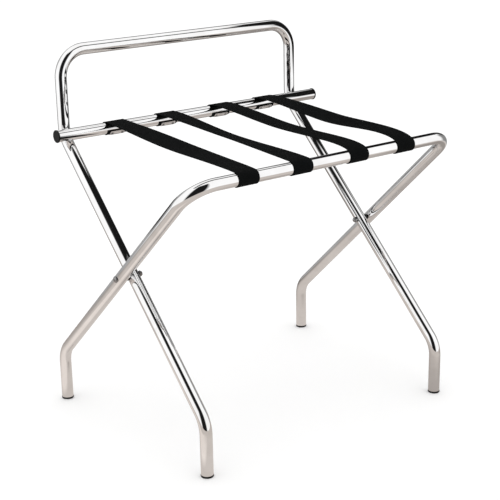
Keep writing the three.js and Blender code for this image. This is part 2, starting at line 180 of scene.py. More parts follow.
# ---- Studio, in metres and degrees ----
LEVEL = (0, 0, 0)
FLOOR_SIZE = 60
FLOOR_DROP = 0.3 * MM
WORLD_WHITE = 1.2
SURROUND_R = 6.0
SURROUND_Z = 0.45
SURROUND_WHITE = 1.12
# The surround's darker regions, each laid over those before it: low azimuth, high azimuth and softness,
# the same for elevation, and the brightness.
SURROUND_REGIONS = {
    "backdrop": ((-34, 54, 7), (-90, 32, 8), 0.40),
    "side wall": ((52, 106, 7), (-24, 30, 7), 0.28),
    "corner": ((14, 54, 7), (4, 40, 6), 0.18),
    "opening where the camera stands": ((-174, -109, 6), (-24, 64, 4), 0.012),
}
# The floor as the tubes show it: its card, its colour, the distances over which it fades out, and the y
# over which its tone falls behind the rack, to a tone that goes from one x to another and is given there.
TONE_CARD = 6
TONE_LIFT = 0.5 * MM
TONE_COLOUR = (0.645, 0.588, 0.548)
TONE_FADE = (1.25, 1.7)
TONE_BEHIND = (0.30, 0.75)
TONE_SIDES = (-0.3, 0.2, 0.65, 0.28)
# Patches of the floor that the tubes show darker or brighter: painted shade under and beside the rack, and a
# painted bright strip where the factor is over 1. Low x, high x and softness, the same for y, and the
# factor.
PAINTED_FLOOR_PATCHES = [
    ((0.10, 0.55, 0.12), (-0.36, 0.02, 0.08), 0.70),
    ((-0.51, -0.34, 0.02), (-0.35, 0.35, 0.10), 1.35),
    ((-0.26, -0.14, 0.03), (-0.14, 0.08, 0.04), 0.60),
    ((0.58, 1.10, 0.08), (-0.60, 0.25, 0.10), 0.55),
    ((0.33, 0.80, 0.08), (0.28, 0.55, 0.06), 0.65),
]
CARD_BLACK = 0.01
# The dark cards: a plane's size, its centre, then the dark part's half width, half height and softness,
# and how the plane is turned if it isn't level.
FLAG = {"size": (0.7, 0.9), "centre": (0.52, 0.09, 0.88), "dark": (0.25, 0.33, 0.03),
        "turn": (90, 0, 90)}
BOOM = {"size": (1.9, 0.30), "centre": (0.2, -0.10, 1.20), "dark": (0.9, 0.10, 0.02)}
# A blade runs along the upper part of an inner leg; lean is its turn about the leg.
LEG_ALONG = Vector((0, 0.72, 0.69)).normalized()
BLADES = {
    "left": {"centre": (-0.228, 0.072, 0.435), "lean": -45, "dark": (0.14, 0.100, 0.02)},
    "right": {"centre": (0.226, 0.087, 0.447), "lean": 47, "dark": (0.036, 0.075, 0.02)},
}
BLADE_MARGIN = (0.1, 0.11)

# ---- Camera: azimuth, elevation and roll in degrees, its place, and its lens ----
CAMERA_ANGLES = (-37.085, 17.960, -1.046)
CAMERA_PLACE = (-1.3718, -1.8014, 1.0321)
CAMERA_LENS = 89.71
CAMERA_SENSOR = 36


def middle(node):
    low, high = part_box(node)
    return (low + high) / 2


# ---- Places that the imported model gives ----
REAR_RAIL = middle("rear_rail")
FRONT_LOW, FRONT_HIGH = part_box("front_frame_tube")
REAR_LOW, REAR_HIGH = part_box("rear_frame_tube")
FRONT_RAIL = Vector((0, FRONT_LOW.y + TUBE_R, FRONT_HIGH.z - TUBE_R))
UPRIGHT_Y = REAR_HIGH.y - TUBE_R
BACK_BAR_Z = REAR_HIGH.z - TUBE_R
PIVOT = middle("pivot_spacer_right")


# ---- Meshes ----
def closed_mesh(name, points, faces, uvs, sharp_deg):
    mesh = bpy.data.meshes.new(name)
    mesh.from_pydata(points, [], faces)
    layer = mesh.uv_layers.new(name="UVMap")
    layer.data.foreach_set("uv", np.asarray(uvs, np.float32).ravel())
    mesh.shade_smooth()
    mesh.set_sharp_from_angle(angle=math.radians(sharp_deg))
    obj = bpy.data.objects.new(name, mesh)
    bpy.context.scene.collection.objects.link(obj)
    return obj


def loft(name, rings, around, along, tips=None, sharp_deg=35):
    """A closed mesh through rings of equal size, with UVs from the lengths around and along them.

    The last ring joins the first one. With tips, a point for each end, both ends are closed instead.
    """
    rings = np.asarray(rings, float)
    count, size = rings.shape[:2]
    points = rings.reshape(-1, 3)
    volume = ring_volume(rings, tips)
    faces, uvs = [], []

    def add(face, uv):
        if volume < 0:
            face, uv = face[::-1], uv[::-1]
        faces.append(face)
        uvs.extend(uv)

    for i in range(count if tips is None else count - 1):
        k = (i + 1) % count
        for j in range(size):
            m = (j + 1) % size
            face = [i * size + j, i * size + m, k * size + m, k * size + j]
            add(face, [(around[j], along[i]), (around[j + 1], along[i]),
                       (around[j + 1], along[i + 1]), (around[j], along[i + 1])])
    if tips is not None:
        points = np.vstack([points, tips])
        last = (count - 1) * size
        for j in range(size):
            m = (j + 1) % size
            add([count * size, m, j], [(0, along[0]), (around[j + 1], along[0]), (around[j], along[0])])
            add([count * size + 1, last + j, last + m],
                [(0, along[-1]), (around[j], along[-1]), (around[j + 1], along[-1])])
    return closed_mesh(name, points.tolist(), faces, uvs, sharp_deg)


def ring_volume(rings, tips):
    """Six times the volume inside the rings, negative if their faces would point in."""
    nxt = np.roll(rings, -1, axis=1)
    pairs = list(zip(range(len(rings) - 1), range(1, len(rings))))
    if tips is None:
        pairs.append((len(rings) - 1, 0))
    total = 0.0
    for i, k in pairs:
        a, b, c, d = rings[i], nxt[i], nxt[k], rings[k]
        total += (np.cross(a, b) * c).sum() + (np.cross(a, c) * d).sum()
    if tips is not None:
        total += (np.cross(rings[0], tips[0]) * nxt[0]).sum()
        total += (np.cross(rings[-1], nxt[-1]) * np.asarray(tips[1])).sum()
    return total


def circle_angles(sides):
    return np.linspace(0, 2 * math.pi, sides, endpoint=False)


def circle_lengths(radius, sides):
    """The length round a circle at each side's start, and at the end."""
    return np.linspace(0, 2 * math.pi * radius, sides + 1)


def run_lengths(points):
    """The length along a line at each of its points."""
    steps = np.linalg.norm(np.diff(np.array(points), axis=0), axis=1)
    return np.concatenate([[0], np.cumsum(steps)])


def end_centres(rings):
    return [np.mean(rings[0], axis=0), np.mean(rings[-1], axis=0)]


def rounded(corners, steps=4):
    """A line through (a, b, cut) corners, each one rounded over its cut length."""
    line = []
    for i, (a, b, cut) in enumerate(corners):
        here = np.array((a, b), float)
        if cut == 0 or i in (0, len(corners) - 1):
            line.append(here)
            continue
        ends = []
        for other in (corners[i - 1], corners[i + 1]):
            way = np.array(other[:2]) - here
            ends.append(here + way / np.linalg.norm(way) * cut)
        for t in np.linspace(0, 1, steps + 1):
            line.append((1 - t) ** 2 * ends[0] + 2 * t * (1 - t) * here + t ** 2 * ends[1])
    return np.array(line)


def frame_from(axis):
    """Two directions at right angles to axis."""
    axis = np.array(axis, float)
    side = np.cross(axis, (0, 0, 1) if abs(axis[2]) < 0.9 else (1, 0, 0))
    side /= np.linalg.norm(side)
    return side, np.cross(axis, side)


def lathe(name, profile, origin, axis, sides=64, outline=None):
    """A turned piece: profile is (radius, height) from one end of the axis to the other.

    outline(angle, radius) may change a radius.
    """
    profile = np.asarray(profile, float)
    origin, axis = np.array(origin, float), np.array(axis, float)
    side, up = frame_from(axis)
    angles = circle_angles(sides)
    rings = []
    for radius, height in profile[1:-1]:
        reach = np.array([outline(a, radius) if outline else radius for a in angles])
        turn = np.outer(reach * np.cos(angles), side) + np.outer(reach * np.sin(angles), up)
        rings.append(origin + axis * height + turn)
    tips = [origin + axis * profile[0][1], origin + axis * profile[-1][1]]
    widest = profile[:, 0].max()
    return loft(name, rings, circle_lengths(widest, sides), run_lengths(profile)[1:-1], tips)


# ---- Bent tubes ----
def bent_path(corners):
    """Points, directions and pull towards the bend's centre along straight runs with rounded corners."""
    places = [np.array(c[:3], float) for c in corners]
    first = places[1] - places[0]
    rows = [(places[0], first / np.linalg.norm(first), np.zeros(3))]
    for i in range(1, len(corners) - 1):
        radius = corners[i][3]
        before = places[i] - places[i - 1]
        after = places[i + 1] - places[i]
        before /= np.linalg.norm(before)
        after /= np.linalg.norm(after)
        turn = math.acos(np.clip(before @ after, -1, 1))
        start = places[i] - before * radius * math.tan(turn / 2)
        side = after - before * math.cos(turn)
        side /= np.linalg.norm(side)
        steps = math.ceil(turn / BEND_STEP)
        for k in range(steps + 1):
            angle = turn * k / steps
            point = start + before * radius * math.sin(angle) + side * radius * (1 - math.cos(angle))
            direction = before * math.cos(angle) + side * math.sin(angle)
            inward = side * math.cos(angle) - before * math.sin(angle)
            rows.append((point, direction, inward * math.sin(math.pi * k / steps) ** 0.5))
    last = places[-1] - places[-2]
    rows.append((places[-1], last / np.linalg.norm(last), np.zeros(3)))
    return rows


def shifted(row, step):
    point, direction, pull = row
    return point + direction * step, direction, pull


def tube(name, corners):
    """A hollow tube, a little oval in its bends, with its rims eased."""
    rows = bent_path(corners)
    easing = [(rows[0], -RIM), (shifted(rows[0], RIM), 0)]
    closing = [(shifted(rows[-1], -RIM), 0), (rows[-1], -RIM)]
    course = easing + [(row, 0) for row in rows[1:-1]] + closing
    side, _ = frame_from(course[0][0][1])
    sides = []
    for (_, direction, _), _ in course:
        side = side - direction * (side @ direction)
        side /= np.linalg.norm(side)
        sides.append(side)
    angles = circle_angles(TUBE_SIDES)

    def ring(row, side, radius):
        point, direction, pull = row
        up = np.cross(direction, side)
        spread = np.outer(np.cos(angles), side) + np.outer(np.sin(angles), up)
        flat = spread @ pull
        across = np.cross(direction, pull)
        wide = spread @ across
        shape = spread - OVAL * np.outer(flat, pull) + 0.5 * OVAL * np.outer(wide, across)
        return point + shape * radius

    outer = [ring(row, s, TUBE_R + ease) for (row, ease), s in zip(course, sides)]
    inner = [ring(row, s, BORE_R - ease) for (row, ease), s in zip(course, sides)]
    run = run_lengths([row[0] for row, _ in course])
    along = np.concatenate([run, run[-1] + RIM + run, [2 * run[-1] + 2 * RIM]])
    return loft(name, outer + inner[::-1], circle_lengths(TUBE_R, TUBE_SIDES), along)


def mirrored(corners):
    return corners + [(-x, *rest) for x, *rest in reversed(corners)]


# ---- Node materials ----
METAL = {"Metallic": 1.0}


class Nodes:
    """Short names for the node kinds that the materials use."""

    def __init__(self, tree):
        self.tree = tree

    def add(self, kind, inputs=None, **settings):
        node = self.tree.nodes.new(kind)
        for key, value in settings.items():
            setattr(node, key, value)
        for key, value in (inputs or {}).items():
            if isinstance(value, bpy.types.NodeSocket):
                self.link(value, node.inputs[key])
            else:
                node.inputs[key].default_value = value
        return node

    def link(self, output, target):
        self.tree.links.new(output, target)

    def coordinates(self, kind, scale=(1, 1, 1)):
        source = self.add("ShaderNodeTexCoord").outputs[kind]
        return self.add("ShaderNodeMapping", {"Vector": source, "Scale": scale}).outputs["Vector"]

    def noise(self, vector, scale, detail, roughness, distortion=0.0):
        node = self.add("ShaderNodeTexNoise", {
            "Vector": vector, "Scale": scale, "Detail": detail,
            "Roughness": roughness, "Distortion": distortion,
        })
        return node.outputs["Fac"]

    def span(self, value, low, high, to_low=0, to_high=1):
        node = self.add("ShaderNodeMapRange", {
            "Value": value, "From Min": low, "From Max": high, "To Min": to_low, "To Max": to_high,
        })
        return node.outputs["Result"]

    def mix(self, factor, colour_a, colour_b):
        inputs = {0: factor, 6: (*colour_a, 1), 7: (*colour_b, 1)}
        return self.add("ShaderNodeMix", inputs, data_type="RGBA").outputs[2]

    def maths(self, operation, a, b=0.0):
        return self.add("ShaderNodeMath", {0: a, 1: b}, operation=operation).outputs[0]

    def wave(self, turns):
        """From 0 to 1 and back over each whole turn."""
        return self.maths("ABSOLUTE", self.maths("SINE", self.maths("MULTIPLY", turns, math.pi)))

    def bump(self, height, distance):
        return self.add("ShaderNodeBump", {"Height": height, "Distance": distance}).outputs["Normal"]


def set_surface(n, shader, tones, rough, constants, normal=None):
    """Colour, roughness and bump from the nodes, and the constants, which are the same all over.

    tones is what varies, its low and high, and the colours there; rough is the same with roughnesses.
    """
    value, low, high, first, second = tones
    n.link(n.mix(n.span(value, low, high), first, second), shader.inputs["Base Color"])
    n.link(n.span(*rough), shader.inputs["Roughness"])
    if normal:
        n.link(normal, shader.inputs["Normal"])
    for key, constant in constants.items():
        shader.inputs[key].default_value = constant


def material(name, build):
    mat = bpy.data.materials.new(name)
    mat.use_nodes = True
    tree = mat.node_tree
    build(Nodes(tree), tree.nodes["Principled BSDF"])
    return mat


def polished_chrome(n, shader):
    """Smudged and lightly scuffed, over faint drawing lines along the tube and a slow ripple."""
    place = n.coordinates("Object")
    smudge = n.noise(place, scale=14, detail=4, roughness=0.6, distortion=0.4)
    scuff = n.noise(place, scale=240, detail=6, roughness=0.7)
    drawn = n.noise(n.coordinates("UV", (900, 9, 1)), scale=1.0, detail=5, roughness=0.7)
    marks = n.maths("MULTIPLY", n.span(smudge, 0.4, 0.75, 0.2, 1), n.span(scuff, 0.45, 0.8))
    ripple = n.bump(n.noise(place, scale=14, detail=2, roughness=0.4), 0.06 * MM)
    lines = n.add("ShaderNodeBump", {"Height": drawn, "Distance": 0.0025 * MM, "Normal": ripple})
    set_surface(n, shader, (smudge, 0.35, 0.7, (0.90, 0.90, 0.905), (0.80, 0.79, 0.785)),
                (marks, 0, 1, 0.02, 0.09), METAL, lines.outputs["Normal"])


def plated_steel(n, shader):
    place = n.coordinates("Object")
    grain = n.noise(place, scale=700, detail=5, roughness=0.65)
    patch = n.noise(place, scale=90, detail=3, roughness=0.5)
    set_surface(n, shader, (patch, 0.35, 0.7, (0.40, 0.40, 0.405), (0.18, 0.175, 0.17)),
                (grain, 0.3, 0.8, 0.03, 0.12), METAL, n.bump(grain, 0.015 * MM))


def brushed_plate(n, shader):
    """Brushed along the rail, so its lines are long in x."""
    patch = n.noise(n.coordinates("Object"), scale=120, detail=3, roughness=0.5)
    brush = n.noise(n.coordinates("Object", (40, 1500, 1500)), scale=1.0, detail=4, roughness=0.6)
    set_surface(n, shader, (patch, 0.35, 0.7, (0.80, 0.80, 0.81), (0.66, 0.655, 0.65)),
                (brush, 0.3, 0.75, 0.14, 0.34), METAL, n.bump(brush, 0.03 * MM))


def weld_metal(n, shader):
    grain = n.noise(n.coordinates("Object"), scale=520, detail=5, roughness=0.7, distortion=0.5)
    set_surface(n, shader, (grain, 0.35, 0.7, (0.70, 0.695, 0.69), (0.45, 0.44, 0.43)),
                (grain, 0.3, 0.75, 0.12, 0.38), METAL, n.bump(grain, 0.12 * MM))


def moulded_plastic(n, shader):
    """Fine-grained black plastic, paler and rougher where it is rubbed."""
    place = n.coordinates("Object")
    grain = n.noise(place, scale=1600, detail=3, roughness=0.6)
    rub = n.noise(place, scale=110, detail=5, roughness=0.65, distortion=0.3)
    set_surface(n, shader, (rub, 0.5, 0.75, (0.004, 0.0042, 0.0044), (0.014, 0.014, 0.014)),
                (rub, 0.3, 0.8, 0.34, 0.62), {"Specular IOR Level": 0.16}, n.bump(grain, 0.05 * MM))


def black_webbing(n, shader):
    """Flat webbing: ribs across the strap, each made of yarns that turn over and under one another. Its
    colour is painted shade in the weave's hollows and painted light on the yarn tops, varied by wear.
    """
    uv = n.add("ShaderNodeTexCoord").outputs["UV"]
    axes = n.add("ShaderNodeSeparateXYZ", {"Vector": uv})
    across = n.maths("MULTIPLY", axes.outputs["X"], 1 / YARN_PITCH)
    along = n.maths("MULTIPLY", axes.outputs["Y"], 1 / RIB_PITCH)
    offset = n.maths("MULTIPLY", n.maths("FLOOR", along), 0.5)
    yarn = n.maths("POWER", n.wave(n.maths("ADD", across, offset)), 0.6)
    rib = n.maths("POWER", n.wave(along), 0.5)
    weave = n.maths("MULTIPLY", yarn, rib)
    fuzz = n.noise(n.coordinates("UV"), scale=2600, detail=4, roughness=0.7)
    wear = n.noise(n.coordinates("UV", (1, 0.5, 1)), scale=60, detail=4, roughness=0.6)
    height = n.maths("ADD", weave, n.maths("MULTIPLY", fuzz, 0.35))
    # light is the weave's painted shade, darker in its hollows and lighter on the yarn tops, times real
    # wear.
    light = n.maths("MULTIPLY", n.span(weave, 0.2, 1, 0.15, 1), n.span(wear, 0.3, 0.75, 0.55, 1))
    finish = {"Sheen Weight": 0.004, "Sheen Roughness": 0.4, "Specular IOR Level": 0.04}
    set_surface(n, shader, (light, 0, 1, (0.0007, 0.0009, 0.0009), (0.0058, 0.0070, 0.0074)),
                (fuzz, 0.3, 0.75, 0.68, 0.92), finish, n.bump(height, 0.22 * MM))


def studio_floor(n, shader):
    haze = n.noise(n.coordinates("Object"), scale=1.3, detail=3, roughness=0.5)
    set_surface(n, shader, (haze, 0.3, 0.7, (0.93, 0.93, 0.93), (0.915, 0.914, 0.912)),
                (haze, 0.3, 0.7, 0.75, 0.85), {"Specular IOR Level": 0.1})


CHROME = material("polished_chrome", polished_chrome)
STEEL = material("plated_steel", plated_steel)
PLATE = material("brushed_plate", brushed_plate)
WELD = material("weld_metal", weld_metal)
PLASTIC = material("moulded_plastic", moulded_plastic)
WEBBING = material("black_webbing", black_webbing)
FLOOR = material("studio_floor", studio_floor)


def finish_piece(obj, mat, node, body=None):
    """Dress a piece that stands for a CAD node; without a body, it is left unattached."""
    obj.data.materials.append(mat)
    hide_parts(node)
    if body:
        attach(obj, body)


# ---- Frames and rear rail ----
def build_tubes():
    rear_foot, front_foot = middle("glide_rear_left"), middle("glide_front_left")
    front_path = mirrored([
        (rear_foot.x, rear_foot.y, FRONT_LOW.z, 0),
        (rear_foot.x, rear_foot.y, FOOT_BEND_Z, BEND_R),
        (rear_foot.x + LEG_SPLAY, FRONT_RAIL.y, FRONT_RAIL.z, BEND_R),
    ])
    rear_path = mirrored([
        (front_foot.x, front_foot.y, REAR_LOW.z, 0),
        (front_foot.x, front_foot.y, FOOT_BEND_Z, BEND_R),
        (front_foot.x + LEG_SPLAY, UPRIGHT_Y, UPRIGHT_BEND_Z, BEND_R),
        (front_foot.x + LEG_SPLAY, UPRIGHT_Y, BACK_BAR_Z, CORNER_R),
    ])
    low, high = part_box("rear_rail")
    rail_path = [(low.x, REAR_RAIL.y, REAR_RAIL.z, 0), (high.x, REAR_RAIL.y, REAR_RAIL.z, 0)]
    for name, path, node, body in (
        ("front_frame_chrome", front_path, "front_frame_tube", BODIES["front"]),
        ("rear_frame_chrome", rear_path, "rear_frame_tube", BODIES["rear"]),
        ("rear_rail_chrome", rail_path, "rear_rail", BODIES["rear"]),
    ):
        finish_piece(tube(name, path), CHROME, node, body)


# ---- Welds between the rear rail and the uprights ----
def weld(side):
    """A rippled bead in a ring about the line from the rail to the upright."""
    node = f"weld_{side}"
    centre = middle(node)
    away = Vector((0, centre.y - REAR_RAIL.y, centre.z - REAR_RAIL.z)).normalized()
    across = np.array(away.cross(Vector((1, 0, 0))))
    rings = []
    for i in range(WELD_STEPS):
        angle = 2 * math.pi * i / WELD_STEPS
        out = np.array((math.cos(angle), 0, 0)) + across * math.sin(angle)
        swell = abs(math.sin(WELD_RIPPLES * angle / 2)) ** WELD_RIPPLE_ROUND
        radius = WELD_BEAD_R * (1 - WELD_RIPPLE_DEPTH + WELD_RIPPLE_DEPTH * swell)
        ring = []
        for turn in circle_angles(WELD_SIDES):
            ring.append(np.array(centre) + out * (WELD_RING_R + radius * math.cos(turn))
                        + np.array(away) * radius * math.sin(turn))
        rings.append(ring)
    bead = loft(f"weld_bead_{side}", rings, circle_lengths(WELD_BEAD_R, WELD_SIDES),
                circle_lengths(WELD_RING_R, WELD_STEPS), sharp_deg=60)
    finish_piece(bead, WELD, node, BODIES["rear"])


# ---- Glides under the feet and plugs in the rail's ends ----
def cap_profile(cap_r, cap_h, dish=0):
    """A cap with a ribbed stem, from the middle of its face; dish is how far the face is sunk."""
    corners = [(0, dish, 0), (cap_r * CAP_FACE, dish, 0.8 * MM), (cap_r * CAP_RIM, 0, 0.8 * MM),
               (cap_r, 0, 0.9 * MM), (cap_r, cap_h, 0.35 * MM), (STEM_R, cap_h, 0)]
    for k in range(STEM_RIBS):
        start = cap_h + STEM_L * (k + 0.5) / (STEM_RIBS + 0.5)
        corners += [(STEM_R, start, 0), (STEM_R + RIB_H, start + RIB_L / 3, RIB_H),
                    (STEM_R, start + RIB_L, 0)]
    corners += [(STEM_R - 0.4 * MM, cap_h + STEM_L, 0.3 * MM), (0, cap_h + STEM_L, 0)]
    return rounded(corners)


def build_caps():
    for place, body in (("front", "rear"), ("rear", "front")):
        for side, _ in SIDES:
            node = f"glide_{place}_{side}"
            foot = middle(node)
            origin = (foot.x, foot.y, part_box(node)[0].z)
            glide = lathe(f"foot_glide_{place}_{side}", cap_profile(GLIDE_R, GLIDE_H), origin, (0, 0, 1))
            finish_piece(glide, PLASTIC, node, BODIES[body])
    for side, sign in SIDES:
        node = f"rail_plug_{side}"
        low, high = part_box(node)
        origin = (low.x if sign < 0 else high.x, REAR_RAIL.y, REAR_RAIL.z)
        plug = lathe(f"end_plug_{side}", cap_profile(PLUG_R, PLUG_H, PLUG_DISH), origin, (-sign, 0, 0))
        finish_piece(plug, PLASTIC, node, BODIES["rear"])


# ---- Pivots ----
def hex_outline(angle, radius):
    """A nut's radius: its profile's, cut back to the six flats."""
    apothem = NUT_CORNER_R * math.cos(math.pi / 6)
    local = (angle + math.pi / 6) % (math.pi / 3) - math.pi / 6
    return min(apothem / math.cos(local), radius)


def box_reach(node, sign):
    """The x of a node's end nearest to the middle plane, and of its far end; sign is its side."""
    low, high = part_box(node)
    near, far = sorted((abs(low.x), abs(high.x)))
    return near * sign, far * sign


def pivot_bolt(side, sign):
    node = f"pivot_bolt_{side}"
    tail, head = box_reach(node, sign)
    seat = head - sign * BOLT_HEAD_H
    shank = abs(seat - tail)
    profile = rounded([
        (0, -shank, 0), (SHANK_R - SHANK_CHAMFER, -shank, 0), (SHANK_R, -shank + SHANK_CHAMFER, 0),
        (SHANK_R, 0, 0), (BOLT_HEAD_R, 0, 0.2 * MM), (BOLT_HEAD_R, 0.9 * MM, 0.5 * MM),
        (5.2 * MM, 2.1 * MM, 0.9 * MM), (2.9 * MM, 3.05 * MM, 1.2 * MM), (0.8 * MM, BOLT_HEAD_H, 0),
        (0, BOLT_HEAD_H, 0),
    ])
    bolt = lathe(f"pivot_screw_{side}", profile, (seat, PIVOT.y, PIVOT.z), (sign, 0, 0))
    finish_piece(bolt, STEEL, node, BODIES["rear"])


def pivot_nut(side, sign):
    node = f"pivot_nut_{side}"
    _, base = box_reach(node, sign)
    nut = lathe(f"cap_nut_{side}", np.array(NUT_PROFILE) * MM, (base, PIVOT.y, PIVOT.z), (-sign, 0, 0),
                NUT_SIDES, hex_outline)
    finish_piece(nut, STEEL, node, BODIES["rear"])


def pivot_spacer(side):
    node = f"pivot_spacer_{side}"
    low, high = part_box(node)
    width = high.x - low.x
    profile = rounded([
        (SPACER_BORE_R, 0, 0), (SPACER_R, 0, SPACER_EASE), (SPACER_R, width, SPACER_EASE),
        (SPACER_BORE_R, width, 0),
    ])
    rings = []
    for radius, height in profile:
        rings.append([(low.x + height, PIVOT.y + radius * math.cos(a), PIVOT.z + radius * math.sin(a))
                      for a in circle_angles(SPACER_SIDES)])
    along = np.linspace(0, SPACER_GIRTH, len(profile) + 1)
    washer = loft(f"pivot_washer_{side}", rings, circle_lengths(SPACER_R, SPACER_SIDES), along)
    finish_piece(washer, PLASTIC, node, BODIES["rear"])


# ---- Around a rail, measured from its top towards the seat ----
RAILS = {
    "front": {"at": FRONT_RAIL, "inward": 1, "shift": -STRAP_SKEW / 2},
    "rear": {"at": REAR_RAIL, "inward": -1, "shift": STRAP_SKEW / 2},
}


def around_rail(rail, degrees, radius):
    angle = math.radians(degrees)
    normal = np.array((rail["inward"] * math.sin(angle), math.cos(angle)))
    return np.array((rail["at"].y, rail["at"].z)) + normal * radius, normal


def strap_middle(number):
    return middle(f"strap_{number}").x


# ---- Straps ----
def strap_course(hang):
    """Points and normals in (y, z) along a strap's middle, as its front wrap, span and rear wrap.

    It runs from its end under the front rail to its end under the rear rail.
    """
    radius = TUBE_R + STRAP_GAP + STRAP_T / 2
    start = STRAP_END_DEG - 360

    def wrap(rail, leave):
        steps = math.ceil((leave - start) / WRAP_STEP_DEG)
        return [around_rail(rail, start + (leave - start) * k / steps, radius) for k in range(steps + 1)]

    front = wrap(RAILS["front"], hang["leave"][0])
    rear = wrap(RAILS["rear"], hang["leave"][1])[::-1]
    (a, normal_a), (b, normal_b) = front[-1], rear[0]
    leaving = np.array((normal_a[1], -normal_a[0])) * hang["rail_pull"][0] * MM
    arriving = np.array((normal_b[1], -normal_b[0])) * hang["rail_pull"][1] * MM
    low_y, low_z, slope = hang["low"]
    low = np.array((low_y, low_z)) * MM
    level = np.array((1, slope)) / math.hypot(1, slope) * MM
    before, after = hang["low_pull"]
    curves = [(a, a + leaving, low - level * before, low), (low, low + level * after, b - arriving, b)]
    span = [bezier(curve, k / SPAN_ROWS) for curve in curves for k in range(1, SPAN_ROWS + 1)]
    return front, span[:-1], rear


def bezier(curve, t):
    """A point and its normal on a cubic curve in (y, z)."""
    a, b, c, d = curve
    point = (1 - t) ** 3 * a + 3 * t * (1 - t) ** 2 * b + 3 * t ** 2 * (1 - t) * c + t ** 3 * d
    tangent = (1 - t) ** 2 * (b - a) + 2 * t * (1 - t) * (c - b) + t ** 2 * (d - c)
    tangent /= np.linalg.norm(tangent)
    return point, np.array((-tangent[1], tangent[0]))


def hump(a, place, size, width):
    return size * math.exp(-((a - place) / width) ** 2)


def strap_section():
    """A strap's closed section as (across, height): over its top from edge to edge, then back below."""
    half = []
    for a in SECTION_STOPS:
        thickness = BODY_HALF + hump(a, *SELVEDGE_BEAD) - hump(a, *SELVEDGE_GROOVE)
        edge = math.sqrt(max(0.0, 1 - (max(0.0, a - EDGE_FROM) / EDGE_ROUND) ** 2))
        half.append((a * MM, thickness * MM * edge))
    half.append((STRAP_W / 2, 0.0))
    over = [(-a, h) for a, h in reversed(half)] + [(a, h) for a, h in half[1:]]
    under = [(a, -h) for a, h in reversed(half[:-1])] + [(-a, -h) for a, h in half[1:-1]]
    return over + under


def share_between(value, low, high):
    return min(max((value - low) / (high - low), 0), 1)


def strap(number, cup):
    """cup is how much the edges of the span stand above its middle, halfway along."""
    hang = HANGS[number - 1]
    front, span, rear = strap_course(hang)
    course = front + span + rear
    section = strap_section()
    x = strap_middle(number)
    first, last = front[-1][0][0], rear[0][0][0]
    rings = []
    for i, (point, normal) in enumerate(course):
        on_span = len(front) <= i < len(front) + len(span)
        free = share_between(point[0], first, last) if on_span else 0.0
        swing = math.sin(math.pi * free)
        roll = math.radians(2 * swing ** 2 * (hang["roll"][0] * (1 - free) + hang["roll"][1] * free))
        across = share_between(point[0], FRONT_RAIL.y, REAR_RAIL.y)
        middle_x = x + STRAP_SKEW * (across - 0.5) + hang["bow"] * MM * swing
        swell = END_SWELL.get(min(i, len(course) - 1 - i), 1.0)
        ring = []
        for a, h in section:
            edge = (a / (STRAP_W / 2)) ** 2
            rise = h * swell + cup * swing * (edge - CUP_LOWERED)
            place = point + normal * (rise * math.cos(roll) + a * math.sin(roll))
            ring.append((middle_x + a * math.cos(roll) - rise * math.sin(roll), place[0], place[1]))
        rings.append(ring)
    around = run_lengths(section + section[:1])
    lengths = run_lengths([point for point, _ in course])
    obj = loft(f"webbing_strap_{number}", rings, around, lengths, end_centres(rings), sharp_deg=50)
    finish_piece(obj, WEBBING, f"strap_{number}")
    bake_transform(obj)


# ---- Retainer plates and rivets over the strap ends ----
def retainer_plate(name, number, x):
    """A plate bent round the rail, over the strap's end."""
    rail = RAILS[name]
    arc = math.radians(PLATE_END_DEG - PLATE_START_DEG) * PLATE_SEAT
    stops = [arc * (1 - math.cos(math.pi * k / PLATE_ROWS)) / 2 for k in range(PLATE_ROWS + 1)]
    rings = []
    for s in stops:
        near = min(s, arc - s)
        inset = PLATE_CORNER - math.sqrt(max(0.0, PLATE_CORNER ** 2 - max(0.0, PLATE_CORNER - near) ** 2))
        half = PLATE_W / 2 - inset
        outline = rounded([
            (0, 0, 0), (half, 0, PLATE_BACK_EASE), (half, PLATE_T, PLATE_EASE), (-half, PLATE_T, PLATE_EASE),
            (-half, 0, PLATE_BACK_EASE), (0, 0, 0),
        ], steps=3)[:-1]
        thin = PLATE_RIM_THIN if near < PLATE_RIM else 1.0
        degrees = PLATE_START_DEG + math.degrees(s / PLATE_SEAT)
        ring = []
        for a, h in outline:
            place, _ = around_rail(rail, degrees, PLATE_SEAT + h * thin)
            ring.append((x + a, place[0], place[1]))
        rings.append(ring)
    around = np.linspace(0, 2 * (PLATE_W + PLATE_T), len(rings[0]) + 1)
    plate = loft(f"retainer_plate_{name}_{number}", rings, around, stops, end_centres(rings))
    finish_piece(plate, PLATE, f"plate_{name}_{number}", BODIES[name])


def retainer(name, number):
    """A plate and its two rivets, which go through it, the strap and the rail's wall."""
    x = strap_middle(number) + RAILS[name]["shift"]
    retainer_plate(name, number, x)
    place, normal = around_rail(RAILS[name], (PLATE_START_DEG + PLATE_END_DEG) / 2, 0)
    seat = PLATE_SEAT + PLATE_T
    crown = seat + RIVET_HEAD_H
    profile = rounded([
        (0, RIVET_TAIL, 0), (RIVET_SHANK_R, RIVET_TAIL, 0.2 * MM), (RIVET_SHANK_R, seat, 0),
        (RIVET_HEAD_R, seat, 0.1 * MM), (RIVET_HEAD_R, seat + 0.25 * MM, 0.2 * MM),
        (1.9 * MM, crown - 0.3 * MM, 0.5 * MM), (0.4 * MM, crown, 0), (0, crown, 0),
    ])
    for side, sign in SIDES:
        rivet = lathe(f"dome_rivet_{name}_{number}_{side}", profile, (x + sign * RIVET_X, *place),
                      (0, *normal), RIVET_SIDES)
        finish_piece(rivet, STEEL, f"rivet_{name}_{number}_{side}", BODIES[name])


